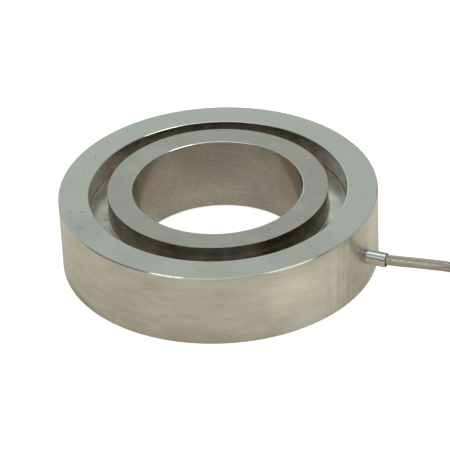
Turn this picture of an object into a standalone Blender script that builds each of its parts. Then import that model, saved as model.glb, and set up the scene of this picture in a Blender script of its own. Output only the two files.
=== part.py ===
"""Through-hole strain gauge load cell: a one-piece steel ring body with a gauge pocket, its cover ring,
the gauges and bridge wiring inside, and the shielded cable in its metal ferrule. Metres, +Z up.
The origin is on the axis of the bore, in the plane that the cell stands on."""

import math

import bmesh
import bpy
from mathutils import Matrix, Vector

MM = 0.001

# Steel ring body, from the bore outwards
BORE_RADIUS = 27.1 * MM
LOAD_RING_WIDTH = 7.95 * MM
GROOVE_WIDTH = 6.05 * MM
OUTER_RING_WIDTH = 9.7 * MM
RING_HEIGHT = 24.2 * MM
LOAD_RING_RISE = 0.8 * MM
UNDERSIDE_RELIEF = 0.4 * MM
WEB_THICKNESS = 5.0 * MM
EDGE_BREAK = 0.45 * MM
BODY_SEGMENTS = 96
SMOOTH_ANGLE = math.radians(30)

# Groove cover
GROOVE_DEPTH = 7.1 * MM
COVER_THICKNESS = 0.8 * MM
SEAT_WIDTH = 0.8 * MM
GAP = 0.3 * MM

# Cable exit, seen from above: measured from +X, clockwise is negative
EXIT_ANGLE = math.radians(-24.5)
EXIT_HEIGHT = 9.9 * MM
FERRULE_REACH = 6.2 * MM
FERRULE_WALL = 0.3 * MM
FERRULE_RIM = 0.15 * MM
SOCKET_DEPTH = 4.0 * MM
SOCKET_CLEARANCE = 0.2 * MM
SPIGOT_WALL = 0.5 * MM
FERRULE_SEGMENTS = 32

# Strain gauges on the web, and the wiring between them
GAUGE_COUNT = 8
GAUGE_LENGTH = 4.2 * MM
GAUGE_MARGIN = 0.6 * MM
GAUGE_BACKING = 0.1 * MM
GAUGE_FOIL = 0.05 * MM
GRID_LINES = 5
TAB_LENGTH = 0.6 * MM
GRID_GAP = 0.3 * MM
FOIL_SLOPE = 0.09 * MM
WIRE_RADIUS = 0.2 * MM
WIRE_ARCH = 1.4 * MM
WIRE_POINTS = 12

# Bridge completion board under the cable exit, and what it carries
BOARD_HALF_ANGLE = math.radians(14.0)
BOARD_THICKNESS = 0.8 * MM
BOARD_STEPS = 12
RESISTOR_LENGTH = 2.0 * MM
RESISTOR_WIDTH = 1.3 * MM
RESISTOR_HEIGHT = 0.6 * MM
RESISTOR_PITCH = math.radians(4.5)
LEAD_RADIUS = 0.25 * MM
LEAD_PITCH = math.radians(2.4)
LEAD_CLEARANCE = 0.28 * MM

# Cable, and the coil that its spare length is wound into
CABLE_RADIUS = 1.7 * MM
POINT_SPACING = 2.0
CORNER_STEPS = 3
COIL_MIDDLE_RADIUS = 18.6 * MM
COIL_COLUMNS = 4
COIL_LAYERS = 4
COIL_SEGMENTS = 48
TAIL_ANGLE = math.radians(-20.0)
TAIL_DROP = 1.5 * MM
TIE_ANGLES = (math.radians(105.0), math.radians(-75.0))
TIE_THICKNESS = 0.9 * MM
TIE_WIDTH = 2.6 * MM
TIE_HEAD = 1.6 * MM

# Where the cable joins the coil's first turn, at the coil's nearest side: x and y from the ferrule's mouth
COIL_APPROACH = (60.1 * MM, -7.6 * MM)
# Route of the free cable: x and y from the mouth of the ferrule, z above the floor
CABLE_ROUTE = ((4.0, -1.15, 9.85), (8.9, -2.3, 9.75), (13.8, -3.45, 9.6), (18.4, -4.35, 9.25),
               (25.5, -5.5, 8.0), (33.0, -6.6, 5.9), (40.0, -7.35, 4.0))
# Route of the tail: x and y from the point where it clears the coil, z above the floor
TAIL_ROUTE = ((2.2, 6.6, 9.4), (3.9, 13.4, 6.3), (4.9, 20.0, 3.7), (5.3, 25.5, 2.5), (5.4, 29.0, 2.2))

# End of the cable: shrink sleeve and four stripped leads
SLEEVE_WALL = 0.5 * MM
SLEEVE_LENGTH = 12.0 * MM
SLEEVE_TAPER = 1.2 * MM
FLYING_RADIUS = 0.45 * MM
# Routes of the leads from the sleeve's end face: along the cable, across it to the left, height
FLYING_ROUTES = {
    "flying_lead_red": ((5.0, 1.6, 1.9), (12.0, 4.4, 0.75), (19.0, 6.6, 0.5), (26.0, 8.4, 0.5)),
    "flying_lead_black": ((5.0, 0.9, 1.0), (12.0, 1.9, 0.5), (19.0, 2.3, 0.5), (25.0, 2.2, 0.5)),
    "flying_lead_green": ((5.0, -0.9, 1.0), (12.0, -1.7, 0.5), (19.0, -2.6, 0.5), (26.0, -3.9, 0.5)),
    "flying_lead_white": ((5.0, -1.6, 1.9), (12.0, -4.3, 0.75), (18.0, -6.9, 0.5), (24.0, -9.3, 0.5)),
}

MATERIALS = {
    "stainless_steel": ((0.36, 0.34, 0.28), 0.3, 1.0),
    "cover_steel": ((0.24, 0.23, 0.19), 0.35, 1.0),
    "bright_steel": ((0.62, 0.64, 0.62), 0.12, 1.0),
    "gauge_foil": ((0.62, 0.36, 0.12), 0.45, 0.3),
    "board": ((0.03, 0.16, 0.06), 0.5, 0.0),
    "resistor": ((0.03, 0.03, 0.035), 0.45, 0.0),
    "enamelled_wire": ((0.45, 0.14, 0.05), 0.3, 0.8),
    "cable_shield": ((0.30, 0.28, 0.23), 0.35, 0.8),
    "sleeve": ((0.02, 0.02, 0.02), 0.5, 0.0),
    "tie": ((0.025, 0.025, 0.025), 0.5, 0.0),
    "lead_red": ((0.45, 0.02, 0.02), 0.4, 0.0),
    "lead_black": ((0.015, 0.015, 0.015), 0.4, 0.0),
    "lead_green": ((0.02, 0.20, 0.06), 0.4, 0.0),
    "lead_white": ((0.75, 0.74, 0.70), 0.4, 0.0),
}

# Heights and radii that follow from the sizes above
LOAD_RING_RADIUS = BORE_RADIUS + LOAD_RING_WIDTH
GROOVE_RADIUS = LOAD_RING_RADIUS + GROOVE_WIDTH
OUTER_RADIUS = GROOVE_RADIUS + OUTER_RING_WIDTH
COVER_TOP = RING_HEIGHT - GROOVE_DEPTH
SEAT_HEIGHT = COVER_TOP - COVER_THICKNESS - GAP
WEB_TOP = UNDERSIDE_RELIEF + WEB_THICKNESS
LOAD_RING_TOP = RING_HEIGHT + LOAD_RING_RISE
POCKET_OUTER = GROOVE_RADIUS - SEAT_WIDTH
POCKET_INNER = LOAD_RING_RADIUS + SEAT_WIDTH
POCKET_MIDDLE = (POCKET_OUTER + POCKET_INNER) / 2
GAUGE_WIDTH = POCKET_OUTER - POCKET_INNER - 2 * GAUGE_MARGIN
GAUGE_TOP = WEB_TOP + GAP + GAUGE_BACKING + GAUGE_FOIL
BOARD_TOP = WEB_TOP + GAP + BOARD_THICKNESS
LEAD_SPREAD = LEAD_RADIUS + GAP / 2
SPIGOT_BORE_RADIUS = math.sqrt(2) * LEAD_SPREAD + LEAD_RADIUS + LEAD_CLEARANCE
SPIGOT_RADIUS = SPIGOT_BORE_RADIUS + SPIGOT_WALL
HOLE_RADIUS = SPIGOT_RADIUS + GAP
SOCKET_RADIUS = CABLE_RADIUS + SOCKET_CLEARANCE
FERRULE_RADIUS = SOCKET_RADIUS + FERRULE_WALL
FERRULE_MOUTH = OUTER_RADIUS + FERRULE_REACH
SOCKET_FLOOR = FERRULE_MOUTH - SOCKET_DEPTH
CABLE_SPACING = POINT_SPACING * 2 * CABLE_RADIUS
COIL_PITCH = 2 * CABLE_RADIUS
COIL_BASE = TIE_THICKNESS + GAP
COIL_TOP = COIL_BASE + COIL_LAYERS * COIL_PITCH
COIL_INNER = COIL_MIDDLE_RADIUS - COIL_COLUMNS / 2 * COIL_PITCH
COIL_OUTER = COIL_MIDDLE_RADIUS + COIL_COLUMNS / 2 * COIL_PITCH
COIL_OUTER_TURN = COIL_OUTER - CABLE_RADIUS
SLEEVE_RADIUS = CABLE_RADIUS + SLEEVE_WALL
FLYING_PITCH = FLYING_RADIUS + GAP


def clear_scene():
    for thing in list(bpy.data.objects):
        bpy.data.objects.remove(thing, do_unlink=True)


def material(name):
    """The named material, made on its first use."""
    found = bpy.data.materials.get(name)
    if found:
        return found
    colour, roughness, metallic = MATERIALS[name]
    made = bpy.data.materials.new(name)
    made.use_nodes = True
    shader = made.node_tree.nodes["Principled BSDF"]
    shader.inputs["Base Color"].default_value = (*colour, 1.0)
    shader.inputs["Roughness"].default_value = roughness
    shader.inputs["Metallic"].default_value = metallic
    return made


def add_object(name, data, material_name):
    data.materials.append(material(material_name))
    thing = bpy.data.objects.new(name, data)
    bpy.context.scene.collection.objects.link(thing)
    return thing


def add_mesh(name, bm, material_name, smooth=False):
    """Turns a finished bmesh into an object, with its faces pointing out."""
    bmesh.ops.recalc_face_normals(bm, faces=bm.faces)
    mesh = bpy.data.meshes.new(name)
    bm.to_mesh(mesh)
    bm.free()
    if smooth:
        mesh.shade_smooth()
        mesh.set_sharp_from_angle(angle=SMOOTH_ANGLE)
    return add_object(name, mesh, material_name)


def polar(radius, angle, z=0.0):
    return Vector((radius * math.cos(angle), radius * math.sin(angle), z))


def spin_profile(profile, segments):
    """A bmesh of the closed profile, given as (radius, z), turned about the Z axis."""
    bm = bmesh.new()
    ring = [bm.verts.new((radius, 0.0, z)) for radius, z in profile]
    for here, there in zip(ring, ring[1:] + ring[:1]):
        if here.co.x > 0 or there.co.x > 0:
            bm.edges.new((here, there))
    bmesh.ops.spin(bm, geom=bm.verts[:] + bm.edges[:], cent=(0, 0, 0), axis=(0, 0, 1),
                   steps=segments, angle=2 * math.pi)
    bmesh.ops.remove_doubles(bm, verts=bm.verts, dist=MM / 1000)
    return bm


def rounded_rectangle(inner, outer, low, high, corner):
    """Points of a section from inner to outer radius and low to high, with round corners."""
    points = []
    corners = ((outer, high, 0), (inner, high, 1), (inner, low, 2), (outer, low, 3))
    for radius, z, quarter in corners:
        side = 1 if radius == outer else -1
        up = 1 if z == high else -1
        for step in range(CORNER_STEPS + 1):
            angle = (quarter + step / CORNER_STEPS) * math.pi / 2
            points.append((radius - side * corner + corner * math.cos(angle),
                           z - up * corner + corner * math.sin(angle)))
    return points


def smooth_path(route, spacing):
    """Points about a spacing apart on a smooth curve through the route's own points."""
    route = [Vector(point) for point in route]
    ends = [2 * route[0] - route[1]] + route + [2 * route[-1] - route[-2]]
    dense = []
    for a, b, c, d in zip(ends, ends[1:], ends[2:], ends[3:]):
        steps = max(8, round((c - b).length / spacing * 8))
        for step in range(steps):
            t = step / steps
            dense.append(0.5 * (2 * b + (c - a) * t + (2 * a - 5 * b + 4 * c - d) * t ** 2
                                + (3 * b - a - 3 * c + d) * t ** 3))
    dense.append(route[-1])
    lengths = [0.0]
    for here, there in zip(dense, dense[1:]):
        lengths.append(lengths[-1] + (there - here).length)
    count = max(2, round(lengths[-1] / spacing))
    points = []
    index = 0
    for step in range(count + 1):
        target = lengths[-1] * step / count
        while index < len(dense) - 2 and lengths[index + 1] < target:
            index += 1
        share = (target - lengths[index]) / (lengths[index + 1] - lengths[index])
        points.append(dense[index].lerp(dense[index + 1], share))
    return points


def tube(name, points, radius, material_name, roundness=2):
    """A round wire or cable along the points, with its ends closed."""
    curve = bpy.data.curves.new(name, "CURVE")
    curve.dimensions = "3D"
    curve.bevel_depth = radius
    curve.bevel_resolution = roundness
    curve.use_fill_caps = True
    spline = curve.splines.new("POLY")
    spline.points.add(len(points) - 1)
    for point, place in zip(spline.points, points):
        point.co = (*place, 1.0)
    return add_object(name, curve, material_name)


def cell_body():
    """Outer ring, web and load ring in one turned piece, drilled for the cable."""
    profile = (
        (OUTER_RADIUS - EDGE_BREAK, 0.0),
        (OUTER_RADIUS, EDGE_BREAK),
        (OUTER_RADIUS, RING_HEIGHT - EDGE_BREAK),
        (OUTER_RADIUS - EDGE_BREAK, RING_HEIGHT),
        (GROOVE_RADIUS + EDGE_BREAK, RING_HEIGHT),
        (GROOVE_RADIUS, RING_HEIGHT - EDGE_BREAK),
        (GROOVE_RADIUS, SEAT_HEIGHT),
        (POCKET_OUTER, SEAT_HEIGHT),
        (POCKET_OUTER, WEB_TOP),
        (POCKET_INNER, WEB_TOP),
        (POCKET_INNER, SEAT_HEIGHT),
        (LOAD_RING_RADIUS, SEAT_HEIGHT),
        (LOAD_RING_RADIUS, LOAD_RING_TOP - EDGE_BREAK),
        (LOAD_RING_RADIUS - EDGE_BREAK, LOAD_RING_TOP),
        (BORE_RADIUS + EDGE_BREAK, LOAD_RING_TOP),
        (BORE_RADIUS, LOAD_RING_TOP - EDGE_BREAK),
        (BORE_RADIUS, UNDERSIDE_RELIEF + EDGE_BREAK),
        (BORE_RADIUS + EDGE_BREAK, UNDERSIDE_RELIEF),
        (GROOVE_RADIUS, UNDERSIDE_RELIEF),
        (GROOVE_RADIUS, 0.0),
    )
    body = add_mesh("cell_body", spin_profile(profile, BODY_SEGMENTS), "stainless_steel", True)
    drill = exit_drill()
    cut = body.modifiers.new("cable_hole", "BOOLEAN")
    cut.operation = "DIFFERENCE"
    cut.solver = "EXACT"
    cut.object = drill


def along_exit(thing):
    """Lays an object's own Z axis along the cable exit, with its origin on the cell's axis."""
    thing.location = (0, 0, EXIT_HEIGHT)
    thing.rotation_euler = (0, math.pi / 2, EXIT_ANGLE)


def exit_drill():
    """The cutter of the cable hole, from inside the gauge pocket to outside the ring."""
    reach = OUTER_RADIUS + SPIGOT_RADIUS
    profile = ((0, POCKET_MIDDLE), (HOLE_RADIUS, POCKET_MIDDLE), (HOLE_RADIUS, reach), (0, reach))
    drill = add_mesh("exit_drill", spin_profile(profile, FERRULE_SEGMENTS), "stainless_steel")
    along_exit(drill)
    drill.hide_render = True
    drill.display_type = "WIRE"
    return drill


def groove_cover():
    """The thin ring that closes the gauge pocket, on the ledges of both walls."""
    low = SEAT_HEIGHT + GAP
    profile = (
        (LOAD_RING_RADIUS + GAP, low),
        (GROOVE_RADIUS - GAP, low),
        (GROOVE_RADIUS - GAP, COVER_TOP),
        (LOAD_RING_RADIUS + GAP, COVER_TOP),
    )
    add_mesh("groove_cover", spin_profile(profile, BODY_SEGMENTS), "cover_steel", True)


def gauge_mesh():
    """One foil gauge: a backing with a raised grid of lines between two solder tabs."""
    tab_start = GAUGE_LENGTH / 2 - TAB_LENGTH
    grid_end = tab_start - GRID_GAP
    xs = [-GAUGE_LENGTH / 2, -tab_start, -grid_end, grid_end, tab_start, GAUGE_LENGTH / 2]
    line = GAUGE_WIDTH / (GRID_LINES + 1)
    ys = [(index - (GRID_LINES + 1) / 2) * line for index in range(GRID_LINES + 2)]
    ys = [-GAUGE_WIDTH / 2] + [y + line / 2 for y in ys[:-1]] + [GAUGE_WIDTH / 2]
    bm = bmesh.new()
    rows = [[bm.verts.new((x, y, GAUGE_BACKING)) for x in xs] for y in ys]
    raised = []
    for j, (low, high) in enumerate(zip(rows, rows[1:])):
        for i in range(len(xs) - 1):
            face = bm.faces.new((low[i], low[i + 1], high[i + 1], high[i]))
            if 0 < j < len(rows) - 2 and i in (0, 2, 4):
                raised.append(face)
    top = bm.faces[:]
    base = bmesh.ops.extrude_face_region(bm, geom=top)
    lowered = [item for item in base["geom"] if isinstance(item, bmesh.types.BMVert)]
    for vert in lowered:
        vert.co.z = 0.0
    bmesh.ops.inset_individual(bm, faces=raised, thickness=FOIL_SLOPE)
    for vert in {vert for face in raised for vert in face.verts}:
        vert.co.z += GAUGE_FOIL
    bmesh.ops.recalc_face_normals(bm, faces=bm.faces)
    mesh = bpy.data.meshes.new("foil_gauge")
    bm.to_mesh(mesh)
    bm.free()
    mesh.materials.append(material("gauge_foil"))
    return mesh


def gauge_angle(index):
    return EXIT_ANGLE + (index + 0.5) * 2 * math.pi / GAUGE_COUNT


def strain_gauges():
    mesh = gauge_mesh()
    for index in range(GAUGE_COUNT):
        gauge = bpy.data.objects.new(f"strain_gauge_{index + 1}", mesh)
        bpy.context.scene.collection.objects.link(gauge)
        angle = gauge_angle(index)
        gauge.location = polar(POCKET_MIDDLE, angle, WEB_TOP + GAP)
        gauge.rotation_euler = (0, 0, angle + math.pi / 2)


def arched_wire(name, start, end):
    """A wire round the pocket between two (angle, height) ends, arched clear of the web."""
    points = []
    for step in range(WIRE_POINTS):
        share = step / (WIRE_POINTS - 1)
        arch = WIRE_ARCH * (1 - (2 * share - 1) ** 4)
        angle = start[0] + (end[0] - start[0]) * share
        height = start[1] + (end[1] - start[1]) * share + arch
        points.append(polar(POCKET_MIDDLE, angle, height))
    tube(name, points, WIRE_RADIUS, "enamelled_wire", roundness=1)


def bridge_wires():
    """Jumpers from each gauge to the next, and one at each end to the board."""
    tab = (GAUGE_LENGTH / 2 - TAB_LENGTH / 2) / POCKET_MIDDLE
    on_gauge = GAUGE_TOP + GAP / 2 + WIRE_RADIUS
    on_board = BOARD_TOP + GAP / 2 + WIRE_RADIUS
    board_end = BOARD_HALF_ANGLE - 2 * WIRE_RADIUS / POCKET_MIDDLE
    for index in range(GAUGE_COUNT - 1):
        arched_wire(f"jumper_wire_{index + 1}", (gauge_angle(index) + tab, on_gauge),
                    (gauge_angle(index + 1) - tab, on_gauge))
    arched_wire("board_wire_1", (EXIT_ANGLE + board_end, on_board), (gauge_angle(0) - tab, on_gauge))
    arched_wire("board_wire_2", (gauge_angle(-1) + tab, on_gauge), (EXIT_ANGLE - board_end, on_board))


def bridge_board():
    """The curved board on the web, below the cable hole."""
    bm = bmesh.new()
    inner, outer = POCKET_INNER + GAUGE_MARGIN, POCKET_OUTER - GAUGE_MARGIN
    angles = [EXIT_ANGLE + (2 * step / BOARD_STEPS - 1) * BOARD_HALF_ANGLE
              for step in range(BOARD_STEPS + 1)]
    outline = [polar(outer, angle, WEB_TOP + GAP) for angle in angles]
    outline += [polar(inner, angle, WEB_TOP + GAP) for angle in reversed(angles)]
    face = bm.faces.new([bm.verts.new(point) for point in outline])
    made = bmesh.ops.extrude_face_region(bm, geom=[face])
    raised = [item for item in made["geom"] if isinstance(item, bmesh.types.BMVert)]
    bmesh.ops.translate(bm, verts=raised, vec=(0, 0, BOARD_THICKNESS))
    add_mesh("bridge_board", bm, "board")


def resistors():
    """Four chip resistors, two on each side of the leads."""
    names = ("span_resistor_1", "span_resistor_2", "balance_resistor", "zero_drift_resistor")
    for name, place in zip(names, (-2, -1, 1, 2)):
        angle = EXIT_ANGLE + (place + (0.5 if place > 0 else -0.5)) * RESISTOR_PITCH
        bm = bmesh.new()
        bmesh.ops.create_cube(bm, size=1.0)
        bmesh.ops.scale(bm, vec=(RESISTOR_LENGTH, RESISTOR_WIDTH, RESISTOR_HEIGHT), verts=bm.verts)
        chip = add_mesh(name, bm, "resistor")
        chip.location = polar(POCKET_MIDDLE, angle, BOARD_TOP + GAP + RESISTOR_HEIGHT / 2)
        chip.rotation_euler = (0, 0, angle)


def inner_leads():
    """The four cable cores, from the board up and out through the ferrule's spigot."""
    across = polar(1, EXIT_ANGLE + math.pi / 2)
    foot = BOARD_TOP + GAP / 2 + LEAD_RADIUS
    cores = (("red", -1.5, -1, 1), ("black", -0.5, -1, -1), ("green", 0.5, 1, -1), ("white", 1.5, 1, 1))
    for colour, place, side, level in cores:
        aside = across * side * LEAD_SPREAD
        height = EXIT_HEIGHT + level * LEAD_SPREAD
        angle = EXIT_ANGLE + place * LEAD_PITCH
        route = [polar(POCKET_MIDDLE, angle, foot),
                 polar(POCKET_MIDDLE, angle, (foot + height) / 2)]
        route += [polar(radius, EXIT_ANGLE, height) + aside
                  for radius in (POCKET_OUTER, POCKET_OUTER + 4 * LEAD_RADIUS, SOCKET_FLOOR)]
        tube(f"inner_lead_{colour}", smooth_path(route, 2 * POINT_SPACING * LEAD_RADIUS), LEAD_RADIUS,
             f"lead_{colour}", roundness=1)


def cable_ferrule():
    """The bright sleeve on the cable, with a spigot through the ring's wall."""
    shoulder = OUTER_RADIUS + GAP
    profile = (
        (SPIGOT_BORE_RADIUS, POCKET_OUTER + GAP),
        (SPIGOT_RADIUS, POCKET_OUTER + GAP),
        (SPIGOT_RADIUS, shoulder),
        (FERRULE_RADIUS, shoulder),
        (FERRULE_RADIUS, FERRULE_MOUTH - FERRULE_RIM),
        (FERRULE_RADIUS - FERRULE_RIM, FERRULE_MOUTH),
        (SOCKET_RADIUS, FERRULE_MOUTH),
        (SOCKET_RADIUS, SOCKET_FLOOR),
        (SPIGOT_BORE_RADIUS, SOCKET_FLOOR),
    )
    ferrule = add_mesh("cable_ferrule", spin_profile(profile, FERRULE_SEGMENTS), "bright_steel", True)
    along_exit(ferrule)


def mouth():
    """The middle of the ferrule's open end."""
    return polar(FERRULE_MOUTH, EXIT_ANGLE, EXIT_HEIGHT)


def coil_centre():
    x, y = COIL_APPROACH
    return Vector((mouth().x + x, mouth().y + y + COIL_OUTER_TURN, 0.0))


def beside_coil():
    """How far along its tangent a cable is when it comes clear of the coil."""
    clear = COIL_OUTER + CABLE_RADIUS + GAP
    return math.sqrt(clear ** 2 - COIL_OUTER_TURN ** 2)


def cable():
    """The free cable, from the ferrule's socket to the side of the coil."""
    start = polar(SOCKET_FLOOR + GAP, EXIT_ANGLE, EXIT_HEIGHT)
    points = [start, mouth()]
    points += [Vector((mouth().x + x * MM, mouth().y + y * MM, z * MM)) for x, y, z in CABLE_ROUTE]
    end = coil_centre() + Vector((-beside_coil(), -COIL_OUTER_TURN, COIL_BASE + CABLE_RADIUS))
    tube("cable", smooth_path(points + [end], CABLE_SPACING), CABLE_RADIUS, "cable_shield")


def cable_coil():
    """The wound length of the cable, as one ring."""
    section = rounded_rectangle(COIL_INNER, COIL_OUTER, COIL_BASE, COIL_TOP, CABLE_RADIUS)
    coil = add_mesh("cable_coil", spin_profile(section, COIL_SEGMENTS), "cable_shield", True)
    coil.location = coil_centre()


def coil_ties():
    """Two nylon ties round the coil, each with its head outside."""
    inside = rounded_rectangle(COIL_INNER - GAP, COIL_OUTER + GAP, COIL_BASE - GAP, COIL_TOP + GAP,
                               CABLE_RADIUS)
    grow = GAP + TIE_THICKNESS
    outside = rounded_rectangle(COIL_INNER - grow, COIL_OUTER + grow, COIL_BASE - grow,
                                COIL_TOP + grow, CABLE_RADIUS + TIE_THICKNESS)
    middle = (COIL_BASE + COIL_TOP) / 2
    head = [(COIL_OUTER + grow, middle - TIE_WIDTH / 2),
            (COIL_OUTER + grow + TIE_HEAD, middle - TIE_WIDTH / 2),
            (COIL_OUTER + grow + TIE_HEAD, middle + TIE_WIDTH / 2),
            (COIL_OUTER + grow, middle + TIE_WIDTH / 2)]
    for index, angle in enumerate(TIE_ANGLES):
        bm = bmesh.new()
        rim = outside + head
        outer = [bm.verts.new((radius, -TIE_WIDTH / 2, z)) for radius, z in rim]
        inner = [bm.verts.new((radius, -TIE_WIDTH / 2, z)) for radius, z in inside]
        edges = [bm.edges.new(pair) for loop in (outer, inner) for pair in zip(loop, loop[1:] + loop[:1])]
        flat = bmesh.ops.triangle_fill(bm, use_beauty=True, edges=edges)
        faces = [item for item in flat["geom"] if isinstance(item, bmesh.types.BMFace)]
        made = bmesh.ops.extrude_face_region(bm, geom=faces)
        moved = [item for item in made["geom"] if isinstance(item, bmesh.types.BMVert)]
        bmesh.ops.translate(bm, verts=moved, vec=(0, TIE_WIDTH, 0))
        tie = add_mesh(f"coil_tie_{index + 1}", bm, "tie")
        tie.location = coil_centre()
        tie.rotation_euler = (0, 0, angle)


def tail_points():
    """The tail of the cable, from the side of the coil down to the sleeve."""
    height = COIL_TOP - CABLE_RADIUS - TAIL_DROP
    start = coil_centre() + polar(COIL_OUTER_TURN, TAIL_ANGLE, height)
    start += polar(beside_coil(), TAIL_ANGLE + math.pi / 2)
    route = [start] + [Vector((start.x + x * MM, start.y + y * MM, z * MM)) for x, y, z in TAIL_ROUTE]
    return smooth_path(route, CABLE_SPACING)


def cable_end():
    """The tail, the shrink sleeve on its end and the four stripped leads."""
    points = tail_points()
    tube("cable_tail", points, CABLE_RADIUS, "cable_shield")
    along = points[-1] - points[-2]
    along.z = 0.0
    along.normalize()
    left = Vector((-along.y, along.x, 0.0))
    up = Vector((0.0, 0.0, 1.0))
    start = points[-1] + along * GAP
    start.z = SLEEVE_RADIUS
    profile = ((0, 0), (CABLE_RADIUS, 0), (SLEEVE_RADIUS, SLEEVE_TAPER),
               (SLEEVE_RADIUS, SLEEVE_LENGTH - SLEEVE_TAPER), (CABLE_RADIUS, SLEEVE_LENGTH),
               (0, SLEEVE_LENGTH))
    sleeve = add_mesh("end_sleeve", spin_profile(profile, FERRULE_SEGMENTS), "sleeve", True)
    turn = Matrix((left, up, along)).transposed().to_4x4()
    sleeve.matrix_world = Matrix.Translation(start) @ turn
    face = start + along * (SLEEVE_LENGTH + GAP)
    for (name, route), (side, level) in zip(FLYING_ROUTES.items(), ((1, 1), (1, -1), (-1, -1), (-1, 1))):
        first = face + left * side * FLYING_PITCH + up * level * FLYING_PITCH
        rest = [face + along * x * MM + left * y * MM + up * (z * MM - face.z) for x, y, z in route]
        colour = name.split("_")[-1]
        path = smooth_path([first] + rest, 2 * POINT_SPACING * FLYING_RADIUS)
        tube(name, path, FLYING_RADIUS, f"lead_{colour}")


def main():
    clear_scene()
    cell_body()
    groove_cover()
    strain_gauges()
    bridge_wires()
    bridge_board()
    resistors()
    inner_leads()
    cable_ferrule()
    cable()
    cable_coil()
    coil_ties()
    cable_end()


main()
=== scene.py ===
"""Looks of the through-hole strain gauge load cell and the studio that it stands in.

Turned and ground steel, the bright ferrule, the braided cable with its coil, sleeve and leads.
Metres, +Z up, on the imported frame.
"""

from math import cos, pi, radians, sin

import bmesh
import bpy
from mathutils import Matrix, Vector


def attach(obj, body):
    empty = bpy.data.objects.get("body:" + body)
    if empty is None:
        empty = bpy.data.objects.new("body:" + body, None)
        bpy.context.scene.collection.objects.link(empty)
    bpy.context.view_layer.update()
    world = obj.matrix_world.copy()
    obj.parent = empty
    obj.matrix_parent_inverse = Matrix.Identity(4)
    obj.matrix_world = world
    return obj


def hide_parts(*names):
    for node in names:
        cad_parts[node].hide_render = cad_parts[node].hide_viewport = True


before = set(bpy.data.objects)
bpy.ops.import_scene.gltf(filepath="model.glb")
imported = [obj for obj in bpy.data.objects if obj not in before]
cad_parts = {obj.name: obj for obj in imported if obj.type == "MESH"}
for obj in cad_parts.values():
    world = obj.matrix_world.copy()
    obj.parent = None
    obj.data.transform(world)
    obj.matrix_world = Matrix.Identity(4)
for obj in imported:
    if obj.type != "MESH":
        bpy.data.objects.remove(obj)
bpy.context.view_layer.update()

MM = 0.001
ORIGIN = (0.0, 0.0, 0.0)

# Steel ring, from the bore outwards
BORE_RADIUS = 27.1 * MM
LOAD_RING_RADIUS = 35.05 * MM
GROOVE_RADIUS = 41.1 * MM
OUTER_RADIUS = 50.8 * MM
RING_HEIGHT = 24.2 * MM
LOAD_RING_TOP = 25.0 * MM
UNDERSIDE_RELIEF = 0.4 * MM
WEB_TOP = 5.4 * MM
SEAT_HEIGHT = 16.0 * MM
SEAT_WIDTH = 0.8 * MM
COVER_TOP = 17.1 * MM
BEAD_RISE = 0.1 * MM
BEAD_WIDTH = 0.36 * MM
EDGE_BREAK = 0.38 * MM
INNER_BREAK_WIDTH = 0.3 * MM
INNER_BREAK_DEPTH = 0.14 * MM
FINE_BREAK = 0.03 * MM
FOOT_BREAK = 0.06 * MM
EASE = 0.06 * MM
EASE_STEPS = 3
TURNED_SEGMENTS = 288
GAP = 0.3 * MM

# Cable exit and ferrule
EXIT_ANGLE = radians(-24.5)
EXIT_HEIGHT = 9.9 * MM
FERRULE_ROOT = 50.3 * MM
FERRULE_MOUTH = 57.0 * MM
FERRULE_LIP = 0.3 * MM
FERRULE_DEPTH = 4.0 * MM
FERRULE_RADIUS = 2.35 * MM
FERRULE_BORE = 1.95 * MM
FERRULE_DROP = 0.2 * MM
CORES_RADIUS = 1.25 * MM
FERRULE_SEGMENTS = 64

# Cable and coil; routes are in mm, from the ferrule's mouth and from where the tail leaves
CABLE_UV = "along_and_round"
CABLE_RADIUS = 1.7 * MM
CABLE_START = 53.3 * MM
CABLE_AROUND = 20
CABLE_STEP = 2.0 * MM
CABLE_ROUTE = ((4.0, -1.15, 9.85), (8.9, -2.3, 9.75), (13.8, -3.45, 9.6), (18.4, -4.35, 9.25),
               (25.5, -5.5, 8.0), (33.0, -6.6, 5.9), (40.0, -7.35, 4.0))
COIL_APPROACH = (60.1 * MM, -7.6 * MM)
COIL_OUTER_TURN = 23.7 * MM
COIL_INNER_TURN = 13.5 * MM
COIL_FLOOR = 2.9 * MM
COIL_TURNS = 3
COIL_LAYERS = 4
COIL_POINTS = 36
LEAVING_POINTS = 7
CLIMB = radians(75.0)
BESIDE_COIL = 13.75 * MM
TAIL_ANGLE = radians(-20.0)
TAIL_START_HEIGHT = 11.6 * MM
TAIL_ROUTE = ((2.2, 6.6, 9.4), (3.9, 13.4, 6.3), (4.9, 20.0, 3.7), (5.3, 25.5, 2.5),
              (5.4, 29.0, 2.2))

# Ties: each tie's angle on the coil, inner radius and outer radius, and its head's blocks, each a
# size, a distance out from the strap and a height over its middle, in mm
TIES = ((radians(105.0), 12.9 * MM, 24.3 * MM), (radians(-75.0), 11.55 * MM, 25.65 * MM))
TIE_LOW = 1.0 * MM
TIE_HIGH = 15.0 * MM
TIE_WIDTH = 2.4 * MM
TIE_THICKNESS = 0.8 * MM
TIE_CORNER = 1.8 * MM
TIE_HEAD = (((2.4, 4.6, 4.4), 0.9, 0.0), ((0.8, 2.2, 3.4), 1.2, 3.4), ((1.0, 2.8, 0.5), 1.2, 2.3))

# End of the cable
SLEEVE_RADIUS = 2.2 * MM
SLEEVE_LENGTH = 12.0 * MM
SLEEVE_PROFILE = ((0.9, 0.0), (1.78, 0.0), (2.02, 0.35), (2.08, 1.6), (2.2, 2.4), (2.16, 5.2),
                  (2.2, 7.4), (2.0, 9.3), (1.75, 10.6), (1.7, 12.0), (0.9, 12.0))
FLYING_RADIUS = 0.45 * MM
STRAND_RADIUS = 0.3 * MM
FLYING_PITCH = 0.75 * MM
FLYING_STEP = 0.5 * MM
FLYING_AROUND = 14
BARE_LENGTH = 5.0 * MM
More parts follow.
